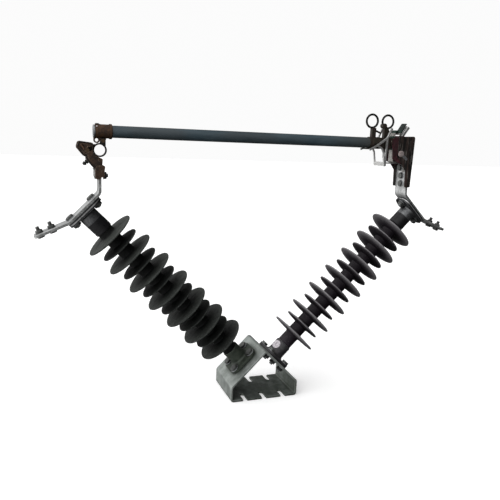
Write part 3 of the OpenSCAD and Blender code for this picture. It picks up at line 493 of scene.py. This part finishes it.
def make_materials():
    """Every material by name. Colours are linear."""
    recipes = {
        "galvanised_bracket": (zinc, dict(
            light=(0.36, 0.385, 0.37), dark=(0.19, 0.21, 0.195), stain=(0.13, 0.155, 0.12),
            floor_grime=0.85)),
        "galvanised_bolts": (zinc, dict(
            light=(0.16, 0.165, 0.16), dark=(0.05, 0.053, 0.05), stain=(0.03, 0.03, 0.027),
            roughness=0.42)),
        # The cut colour is the painted shade on the bar's sides that face along Y
        "tinned_arm": (tinned, dict(
            colour=(0.62, 0.63, 0.63), dull=(0.2, 0.205, 0.2), cut=(0.14, 0.143, 0.14))),
        "silicone_grey_green": (silicone, dict(
            colour=(0.005, 0.0062, 0.0056), bloom=(0.018, 0.021, 0.019), dust=(0.08, 0.087, 0.08),
            foot_shade=0.65, rim_bloom=0.12)),
        # Paler than the grey-green rubber: partly its own tint, partly painted light for this insulator's
        # brighter-lit sheds
        "silicone_grey_violet": (silicone, dict(
            colour=(0.02, 0.014, 0.021), bloom=(0.06, 0.052, 0.064), dust=(0.2, 0.195, 0.2),
            rim_bloom=0.65)),
        "cast_green": (casting, dict(
            colour=(0.028, 0.037, 0.027), worn=(0.16, 0.18, 0.15), patina=(0.05, 0.06, 0.045))),
        "cast_dark": (casting, dict(
            colour=(0.028, 0.027, 0.03), worn=(0.2, 0.2, 0.2), patina=(0.06, 0.058, 0.06))),
        "sleeved_fitting": (casting, dict(
            colour=(0.13, 0.133, 0.137), worn=(0.4, 0.4, 0.4), patina=(0.06, 0.062, 0.065), metallic=0.8,
            roughness=0.34, sleeve=fitting_reach(), Specular_IOR_Level=0.2)),
        "pale_plug": (bright_metal, dict(
            colour=(0.5, 0.47, 0.5), dark=(0.12, 0.11, 0.12), roughness=0.45, metallic=0.3)),
        "bronze_brown": (casting, dict(
            colour=(0.055, 0.029, 0.016), worn=(0.3, 0.22, 0.16), patina=(0.012, 0.009, 0.007),
            metallic=0.55, flecks=0.45)),
        "bronze_rust": (casting, dict(
            colour=(0.07, 0.033, 0.013), worn=(0.1, 0.07, 0.045), patina=(0.016, 0.009, 0.006),
            metallic=0.4, roughness=0.6, shine=0.2)),
        "bronze_dark": (casting, dict(
            colour=(0.008, 0.007, 0.006), worn=(0.16, 0.12, 0.1), patina=(0.02, 0.014, 0.01), metallic=0.2,
            shine=0.12, Specular_IOR_Level=0.2)),
        # Paler worn bronze for the cheek bosses: wear and a painted highlight
        "bronze_worn": (casting, dict(
            colour=(0.11, 0.06, 0.035), worn=(0.3, 0.2, 0.15), patina=(0.05, 0.027, 0.017), metallic=0.7,
            roughness=0.4)),
        "black_wire": (casting, dict(
            colour=(0.004, 0.004, 0.004), worn=(0.05, 0.045, 0.04), patina=(0.01, 0.009, 0.008),
            metallic=0.0, roughness=0.6, shine=0.2, Specular_IOR_Level=0.15)),
        "bronze_pin": (bright_metal, dict(
            colour=(0.09, 0.06, 0.035), dark=(0.03, 0.02, 0.012), roughness=0.35)),
        "blackened_steel": (casting, dict(
            colour=(0.009, 0.009, 0.008), worn=(0.1, 0.09, 0.08), patina=(0.022, 0.019, 0.017),
            metallic=0.3, roughness=0.5, shine=0.35)),
        "spring_steel": (bright_metal, dict(
            colour=(0.62, 0.62, 0.61), dark=(0.25, 0.25, 0.24), roughness=0.28)),
        "tube_glass_fibre": (painted_tube, dict(
            colour=(0.022, 0.042, 0.055), faded=(0.045, 0.07, 0.084), dark=(0.011, 0.018, 0.023),
            far=(0.036, 0.039, 0.04))),
        "casting_olive": (casting, dict(
            colour=(0.016, 0.014, 0.008), worn=(0.14, 0.11, 0.07), patina=(0.034, 0.016, 0.016),
            metallic=0.4, shine=0.5, flecks=0.2)),
        "contact_silver": (bright_metal, dict(
            colour=(0.45, 0.42, 0.36), dark=(0.12, 0.1, 0.08), roughness=0.35)),
        "contact_green": (tarnished_strip, dict(
            colour=(0.02, 0.045, 0.034), dark=(0.005, 0.008, 0.007), silver=(0.42, 0.4, 0.38))),
        "fibre_maroon": (fibre, dict(
            colour=(0.026, 0.0055, 0.008), faded=(0.05, 0.013, 0.017), dark=(0.008, 0.003, 0.0035))),
        "blackened_plate": (blackened_plate, dict(
            colour=(0.006, 0.0055, 0.005), brown=(0.045, 0.028, 0.023), pale=(0.2, 0.19, 0.17))),
        "lip_metal": (bright_metal, dict(
            colour=(0.3, 0.31, 0.32), dark=(0.12, 0.12, 0.125), roughness=0.35, metallic=0.85)),
        "pale_washer": (bright_metal, dict(
            colour=(0.5, 0.44, 0.43), dark=(0.25, 0.2, 0.19), roughness=0.4, metallic=0.8)),
    }
    return {name: maker(name, **values) for name, (maker, values) in recipes.items()}


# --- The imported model's own nodes ---
WELD_DISTANCE = 0.02 * MM
SMALL_BEVEL = 0.35
# In millimetres
BEVEL_WIDTHS = {
    "mounting_bracket": 0.9, "hinge_casting": 1.1, "trunnion_casting": 0.8, "lower_ferrule": 0.8,
    "upper_casting": 1.0, "contact_channel": 0.5, "hinge_arm": 1.0, "contact_arm": 1.0,
    "hinge_lower_fitting": 1.2, "contact_lower_fitting": 1.2, "hinge_upper_fitting": 1.2,
    "contact_upper_fitting": 1.2, "chute_front_plate": 0.5, "chute_back_plate": 0.5,
}
SHARP = math.radians(32)
BOLT_SHARP = math.radians(26)
BEAD_SHARP = math.radians(50)


def dress_node(name, material):
    """One of the model's own meshes in its material, with its sharp edges broken."""
    part = NODES[name]
    part.data.materials.clear()
    part.data.materials.append(material)
    weld = part.modifiers.new("weld", "WELD")
    weld.merge_threshold = WELD_DISTANCE
    bevel = part.modifiers.new("bevel", "BEVEL")
    bevel.limit_method = "ANGLE"
    bevel.angle_limit = SHARP
    bevel.width = BEVEL_WIDTHS.get(name, SMALL_BEVEL) * MM
    bevel.segments = 2
    bevel.use_clamp_overlap = True
    smooth = part.modifiers.new("weighted", "WEIGHTED_NORMAL")
    smooth.keep_sharp = False


# --- Pieces built as meshes ---
def new_piece(name, points, faces, body, slot, sharp=SHARP, material=None):
    """A mesh that rides on the body, in the slot's material unless another is named."""
    mesh = bpy.data.meshes.new(name)
    mesh.from_pydata([tuple(p) for p in points], [], faces)
    mesh.validate()
    fixer = bmesh.new()
    fixer.from_mesh(mesh)
    bmesh.ops.recalc_face_normals(fixer, faces=fixer.faces)
    fixer.to_mesh(mesh)
    fixer.free()
    for polygon in mesh.polygons:
        polygon.use_smooth = True
    mesh.set_sharp_from_angle(angle=sharp)
    mesh.materials.append(MATERIALS[material or slot])
    piece = bpy.data.objects.new(name, mesh)
    bpy.context.collection.objects.link(piece)
    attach(piece, body)
    return piece


def loft(rings, closed=False):
    """Skin over rings of equally many points, with flat ends unless the rings close on themselves."""
    count = len(rings[0])
    points = [p for ring in rings for p in ring]
    faces = []
    for i in range(len(rings) if closed else len(rings) - 1):
        low, high = i * count, (i + 1) % len(rings) * count
        for j in range(count):
            k = (j + 1) % count
            faces.append((low + j, low + k, high + k, high + j))
    if not closed:
        faces.append(tuple(range(count)))
        faces.append(tuple(range(len(points) - count, len(points))))
    return points, faces


def joined(parts):
    """Several (points, faces) shapes as one."""
    points, faces = [], []
    for more_points, more_faces in parts:
        start = len(points)
        points += more_points
        faces += [tuple(start + i for i in face) for face in more_faces]
    return points, faces


def axis_frame(place, axis):
    """Matrix whose Z runs along the axis from the place."""
    return Matrix.Translation(place) @ Vector(axis).to_track_quat("Z", "Y").to_matrix().to_4x4()


def ring_at(z, radius, count=36):
    """A ring at height z. The radius is a number or a function of the angle."""
    angles = [2 * math.pi * i / count for i in range(count)]
    radii = [radius(a) if callable(radius) else radius for a in angles]
    return [Vector((r * math.cos(a), r * math.sin(a), z)) for a, r in zip(angles, radii)]


def hexagon(corner, limit=1.0):
    """Radius of a hexagon at an angle, held under limit times its corner radius."""
    flat = corner * math.cos(math.pi / 6)
    return lambda a: min(flat / math.cos((a + math.pi / 6) % (math.pi / 3) - math.pi / 6), corner * limit)


# The chamfer's height as a share of the corner radius
HEX_CUT = 0.09
# How far along the cut, and the share of the corner radius left there
HEX_CHAMFER = ((0.0, 0.88), (0.45, 0.95))


def hex_block(corner, low, high, chamfer_low=True, chamfer_high=True):
    """A bolt head or nut with its corners turned off at one or both ends."""
    cut = HEX_CUT * corner
    rings = []
    if chamfer_low:
        rings += [ring_at(low + cut * share, hexagon(corner, limit)) for share, limit in HEX_CHAMFER]
    rings += [ring_at(low + cut * chamfer_low, hexagon(corner)),
              ring_at(high - cut * chamfer_high, hexagon(corner))]
    if chamfer_high:
        rings += [ring_at(high - cut * share, hexagon(corner, limit)) for share, limit in HEX_CHAMFER[::-1]]
    return loft(rings)


# Depth as a share of the pitch, and rings drawn for each turn
THREAD_DEPTH = 0.55
THREAD_RINGS = 6


def thread(radius, low, high, pitch):
    """A stretch of screw thread with a chamfered end."""
    steps = max(2, round((high - low) / pitch * THREAD_RINGS))
    depth = THREAD_DEPTH * pitch
    rings = []
    for i in range(steps + 1):
        z = low + (high - low) * i / steps
        end = min(0.0, (high - z) - 1.2 * depth)

        def groove(a, z=z, end=end):
            phase = (z / pitch - a / (2 * math.pi)) % 1.0
            return radius - depth * abs(2 * phase - 1) + end
        rings.append(ring_at(z, groove, 28))
    return loft(rings)


def islands(node):
    """The separate solids of a CAD node, as arrays of corner points."""
    work = bmesh.new()
    work.from_mesh(NODES[node].data)
    bmesh.ops.remove_doubles(work, verts=work.verts, dist=0.01 * MM)
    left, found = set(work.verts), []
    while left:
        stack, group = [left.pop()], []
        while stack:
            vert = stack.pop()
            group.append(tuple(vert.co))
            near = {e.other_vert(vert) for e in vert.link_edges} & left
            left -= near
            stack += near
        found.append(np.array(sorted(group)))
    work.free()
    return sorted(found, key=lambda g: tuple(g.mean(axis=0).round(4)))


def main_axis(points):
    """A solid's middle and longest direction, and its corners' places along and distances from that axis."""
    middle = points.mean(axis=0)
    axis = np.linalg.svd(points - middle, full_matrices=False)[2][0]
    along = (points - middle) @ axis
    radii = np.linalg.norm(points - middle - np.outer(along, axis), axis=1)
    return middle, axis, along, radii


def long_axis(node, point_to):
    """Start, direction, length and radius of a long solid, pointing roughly the given way."""
    middle, axis, along, radii = main_axis(islands(node)[0])
    if Vector(axis).dot(point_to) < 0:
        axis, along = -axis, -along
    return Vector(middle + axis * along.min()), Vector(axis), along.max() - along.min(), radii.max()


# The least share of the hexagon's corner radius that a corner of it has
CORNER_SHARE = 0.93


def read_bolt(points):
    """Seat, axis and sizes of a bolt with a hexagon head and nut, from its solid's corners."""
    middle, axis, along, radii = main_axis(points)
    corner = radii.max()
    # The levels of the hexagons' corners: the ends of the head, then the ends of the nut
    levels = np.unique(np.round(along[radii > CORNER_SHARE * corner], 4))
    if levels[0] - along.min() > along.max() - levels[-1]:
        axis, along, levels = -axis, -along, -levels[::-1]
    shank = radii[along > along.max() - 0.2 * MM].max()
    return {"seat": Vector(middle + axis * levels[1]), "axis": Vector(axis), "corner": corner, "shank": shank,
            "head": levels[1] - levels[0], "grip": levels[-2] - levels[1], "nut": levels[-1] - levels[-2],
            "stud": along.max() - levels[-1]}


def turned(profile, count=40):
    """A closed profile of (radius, height) points, turned about Z."""
    angles = [2 * math.pi * i / count for i in range(count)]
    rings = [[Vector((r * math.cos(a), r * math.sin(a), z)) for r, z in profile] for a in angles]
    return loft(rings, closed=True)


def washer(outer, inner, low, high):
    """A flat washer with its edges broken."""
    cut = 0.2 * (high - low)
    return turned([(inner, low), (outer - cut, low), (outer, low + cut),
                   (outer, high - cut), (outer - cut, high), (inner, high)])


def placed(matrix, shape):
    """A (points, faces) shape moved by the matrix."""
    return [matrix @ p for p in shape[0]], shape[1]


# Shares of the corner radius
WASHER_THICK, WASHER_LIP = 0.14, 1.12
# Shares of the shank's radius
CORE, PITCH = 0.95, 0.29


def make_bolts(node, slot="galvanised_bolts", plain="lip_metal", head=None):
    """A node's bolts again: chamfered hexagons, and washers and screw threads in the plain material."""
    hexes, trim = [], []
    for points in islands(node):
        b = read_bolt(points)
        thick, lip = WASHER_THICK * b["corner"], b["corner"] * WASHER_LIP
        top = b["grip"] + b["nut"]
        place = axis_frame(b["seat"], b["axis"])
        core = b["shank"] * CORE
        hexes += [placed(place, shape) for shape in (
            hex_block(b["corner"], -b["head"], -thick, chamfer_high=False),
            hex_block(b["corner"], b["grip"] + thick, top),
            loft([ring_at(-0.5 * MM, core), ring_at(b["grip"] + 0.5 * MM, core)]))]
        trim += [placed(place, shape) for shape in (
            washer(lip, core, -thick, 0), washer(lip, core, b["grip"], b["grip"] + thick),
            thread(b["shank"], top - 2 * MM, top + b["stud"], PITCH * b["shank"]))]
    piece = new_piece(node + "_finished", *joined(hexes), "frame", slot, BOLT_SHARP, head)
    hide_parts(node)
    new_piece(node + "_washers_and_threads", *joined(trim), "frame", slot, BOLT_SHARP, plain)


# How far the end turns are closed up
SPRING_EASE = 0.35


def helix_tube(place, radius, wire, length, turns, sides=10, steps=20):
    """A compression spring along the place's Z, with its ends drawn flat."""
    rings = []
    count = int(turns * steps)
    climb = length - wire
    for i in range(count + 1):
        a = 2 * math.pi * i / steps
        share = i / count
        eased = share - SPRING_EASE / turns * math.sin(2 * math.pi * share)
        z = wire / 2 + climb * min(1, max(0, eased))
        out = Vector((math.cos(a), math.sin(a), 0))
        centre = out * radius + Vector((0, 0, z))
        ring = []
        for j in range(sides):
            b = 2 * math.pi * j / sides
            ring.append(place @ (centre + (out * math.cos(b) + Vector((0, 0, math.sin(b)))) * wire / 2))
        rings.append(ring)
    return loft(rings)


SPRING_WIRE = 2.4 * MM
SPRING_TURNS = 11
# In from the coil's outside to its rod, in wires
ROD_GAP = 1.9


def make_contact_spring():
    """The contact's spring as a coil around its guide rod."""
    start, axis, length, radius = long_axis("contact_spring", Vector((0, 0, 1)))
    place = axis_frame(start, axis)
    coil = helix_tube(place, radius - SPRING_WIRE / 2, SPRING_WIRE, length, SPRING_TURNS)
    spring = new_piece("contact_spring_coil", *coil, "frame", "spring_steel")
    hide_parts("contact_spring")
    core = radius - ROD_GAP * SPRING_WIRE
    rod = loft([ring_at(0.5 * MM, core), ring_at(length - 1 * MM, core), ring_at(length, core * 0.8)])
    new_piece("contact_spring_guide", *placed(place, rod), "frame", "spring_steel")


# Out from the tube's radius and in from its mouth, in millimetres
LIP_PROFILE = ((-3, 0.2), (-2.4, -0.6), (0, -0.6), (0.6, 0), (0.6, 2.6), (-1, 3))


# Roughly the way along the tube from its mouth
INTO_TUBE = Vector((1, 0, 0))


def make_tube_lip():
    """The metal lip on the tube's open end."""
    start, axis, _, radius = long_axis("fuse_tube", INTO_TUBE)
    lip = turned([(radius + out * MM, along * MM) for out, along in LIP_PROFILE], 64)
    new_piece("tube_mouth_lip", *placed(axis_frame(start, axis), lip), "fuse_holder", "galvanised_bolts",
              material="lip_metal")


def stadium(length, width, thick, count=14):
    """A flat bar with round ends from the origin along X, standing up along Z."""
    outline = []
    for end, turn in ((length, -math.pi / 2), (0, math.pi / 2)):
        for i in range(count + 1):
            a = turn + math.pi * i / count
            outline.append((end + width / 2 * math.cos(a), width / 2 * math.sin(a)))
    cut = 0.25 * thick
    scale = 1 - 2 * cut / width
    rings = [[Vector((x, y, 0)) for x, y in outline], [Vector((x, y, thick - cut)) for x, y in outline]]
    along_scale = 1 - 2 * cut / (length + width)
    middle = length / 2
    rings.append([Vector((middle + (x - middle) * along_scale, y * scale, thick)) for x, y in outline])
    return loft(rings)


# Outer and inner radius, low and high face
CHUTE_WASHER = (9.5 * MM, 3.8 * MM, 0, 1.5 * MM)
# Length, width and thickness
CHUTE_KEEPER = (24 * MM, 8 * MM, 0.9 * MM)
KEEPER_ALONG = Vector((0.8, 0, -0.6))


def make_chute_trim():
    """Wide washers under the chute bolt's head and nut, each with a keeper plate."""
    b = read_bolt(islands("chute_bolt")[0])
    for side, z, out in (("front", 0, -1), ("back", b["grip"], 1)):
        place = b["seat"] + b["axis"] * z
        outward = b["axis"] * out
        flat = placed(axis_frame(place, outward), washer(*CHUTE_WASHER))
        new_piece("chute_washer_" + side, *flat, "frame", "galvanised_bolts", material="pale_washer")
        turn = Matrix((KEEPER_ALONG, outward.cross(KEEPER_ALONG), outward)).transposed().to_4x4()
        keeper = placed(Matrix.Translation(place) @ turn, stadium(*CHUTE_KEEPER))
        new_piece("chute_keeper_" + side, *keeper, "frame", "galvanised_bolts", material="lip_metal")


CLIP_WALL, CLIP_BITE = 1.4 * MM, 0.8 * MM
CLIP_THICK = 0.7 * MM
CLIP_INSET = 0.5 * MM


def make_pin_clips():
    """Spring clips on the ends of the toggle pin."""
    start, axis, length, radius = long_axis("toggle_pin", Vector((0, 1, 0)))
    clip = washer(radius + CLIP_WALL, radius - CLIP_BITE, 0, CLIP_THICK)
    shapes = [placed(axis_frame(start + axis * at, axis), clip)
              for at in (CLIP_INSET, length - CLIP_INSET - CLIP_THICK)]
    new_piece("toggle_pin_clips", *joined(shapes), "trunnion", "bronze_pin", material="blackened_steel")


LINK_NUT = {"corner": 5.2 * MM, "thick": 3.4 * MM, "stud": 2.6 * MM}
LINK_WASHER = {"outer": 5.6 * MM, "inner": 3 * MM, "thick": 1 * MM}


def make_link_nut():
    """The thin nut on the stud that holds the fuse link's tail."""
    start, axis, length, _ = long_axis("link_stud", Vector((-1, 0, -1)))
    high = length - LINK_NUT["stud"]
    low = high - LINK_NUT["thick"]
    shape = joined([hex_block(LINK_NUT["corner"], low, high),
                    washer(LINK_WASHER["outer"], LINK_WASHER["inner"], low - LINK_WASHER["thick"], low)])
    new_piece("link_nut", *placed(axis_frame(start, axis), shape), "frame", "blackened_steel")


# How far round the ferrule from level
RIVET_LIFT = math.radians(40)
RIVET_INSET = 8 * MM
FERRULE_WALL = 3.4 * MM
# Height above the ferrule and radius, in millimetres
RIVET_PROFILE = ((-1, 2), (0.3, 2), (1, 1.5), (1.3, 0.6))


def make_ferrule_rivets():
    """Bright rivets near the open end of the ferrule, above its middle on both sides."""
    start, axis, _, radius = long_axis("fuse_tube", INTO_TUBE)
    head = loft([ring_at(z * MM, r * MM, 20) for z, r in RIVET_PROFILE])
    shapes = []
    for side in (-1, 1):
        out = Vector((0, side * math.cos(RIVET_LIFT), math.sin(RIVET_LIFT)))
        foot = start + axis * RIVET_INSET + out * (radius + FERRULE_WALL)
        shapes.append(placed(axis_frame(foot, out), head))
    new_piece("ferrule_rivets", *joined(shapes), "fuse_holder", "galvanised_bolts", material="pale_washer")


BEAD_SUNK = 0.5 * MM


def bead(line, out, width, height, steps=6):
    """A half-round bead along a line of points on a face that looks along out."""
    rings = []
    for i, point in enumerate(line):
        along = line[min(i + 1, len(line) - 1)] - line[max(i - 1, 0)]
        side = along.normalized().cross(out)
        ring = []
        for j in range(steps + 1):
            a = math.pi * j / steps
            ring.append(point + side * (width / 2 * math.cos(a)) + out * (height * math.sin(a)))
        ring += [point + side * end - out * BEAD_SUNK for end in (-width / 2, width / 2)]
        rings.append(ring)
    return loft(rings)


def smooth_path(corners):
    """Corners cut off twice, for a flowing line."""
    for _ in range(2):
        more = [corners[0]]
        for a, b in zip(corners, corners[1:]):
            more += [a.lerp(b, 0.25), a.lerp(b, 0.75)]
        corners = more + [corners[-1]]
    return corners


HINGE = Vector(frame["record"]["behaviour"]["joints"][0]["pos_m"])
# Along X and up Z from the hinge, in millimetres
CHEEK_RIM = ((-22.5, 7.2), (-19.6, 18), (-15, 19.6), (11.6, 16.4), (12.8, 5), (16, -10))
CHEEK_TAIL = ((-21, 4.2), (-9, -12.5), (-1.5, -12.5), (-0.6, -21), (7, -31.5), (17.5, -43.5))
CHEEK_BOSS = ((-14.5, 14), (-6.5, 2))
RIM_WIDTH, RIM_HEIGHT = 3.2 * MM, 1.1 * MM
BOSS_WIDTH, BOSS_HEIGHT, BOSS_SUNK = 6 * MM, 2.6 * MM, 1.6 * MM


def from_hinge(corners, y):
    """Points drawn around the hinge, as places at the given y."""
    return [Vector((HINGE.x + x * MM, y, HINGE.z + z * MM)) for x, z in corners]


def make_cheek_trim():
    """The cast rims and the raised boss on the outer faces of the hinge casting's cheeks."""
    cheek = max(abs(p[1]) for p in islands("hinge_casting")[0] if p[2] > HINGE.z)
    rims, bosses = [], []
    for side in (-1, 1):
        out = Vector((0, side, 0))
        for corners in (CHEEK_RIM, CHEEK_TAIL):
            rims.append(bead(smooth_path(from_hinge(corners, side * cheek)), out, RIM_WIDTH, RIM_HEIGHT))
        a, b = from_hinge(CHEEK_BOSS, side * (cheek - BOSS_SUNK))
        bosses.append(bead([a.lerp(b, t / 8) for t in range(9)], out, BOSS_WIDTH, BOSS_HEIGHT, steps=10))
    # The rims are near black: painted shade along the edge of the cheek's recess
    new_piece("cheek_rims", *joined(rims), "frame", "bronze_brown", BEAD_SHARP, "bronze_dark")
    # The bosses are paler: wear, and a painted highlight
    new_piece("cheek_bosses", *joined(bosses), "frame", "bronze_brown", BEAD_SHARP, "bronze_worn")


# --- Making it all ---
make_camera()
make_stage()
make_studio()

MATERIALS = make_materials()
# Nodes that look unlike the rest of their slot
OTHER_MATERIALS = {
    "contact_channel": "blackened_plate", "trunnion_casting": "bronze_dark", "lower_ferrule": "bronze_rust",
    "hinge_upper_fitting": "sleeved_fitting", "contact_upper_fitting": "sleeved_fitting",
    "pull_ring": "black_wire", "lift_ring": "black_wire",
}
for subpart in frame["record"]["subparts"]:
    node_name = subpart["node"]
    dress_node(node_name, MATERIALS[OTHER_MATERIALS.get(node_name, subpart["material_slot"])])

for node_name in ("hinge_base_bolts", "contact_base_bolts", "hinge_flange_bolts", "contact_flange_bolts",
                  "channel_bolts"):
    make_bolts(node_name)
for node_name in ("hinge_terminal_bolts", "contact_terminal_bolts"):
    make_bolts(node_name, plain="galvanised_bolts")
make_bolts("chute_bolt", plain="pale_washer", head="pale_washer")
make_bolts("hinge_clamp_bolt", slot="blackened_steel")
make_contact_spring()
make_tube_lip()
make_chute_trim()
make_pin_clips()
make_link_nut()
make_ferrule_rivets()
make_cheek_trim()
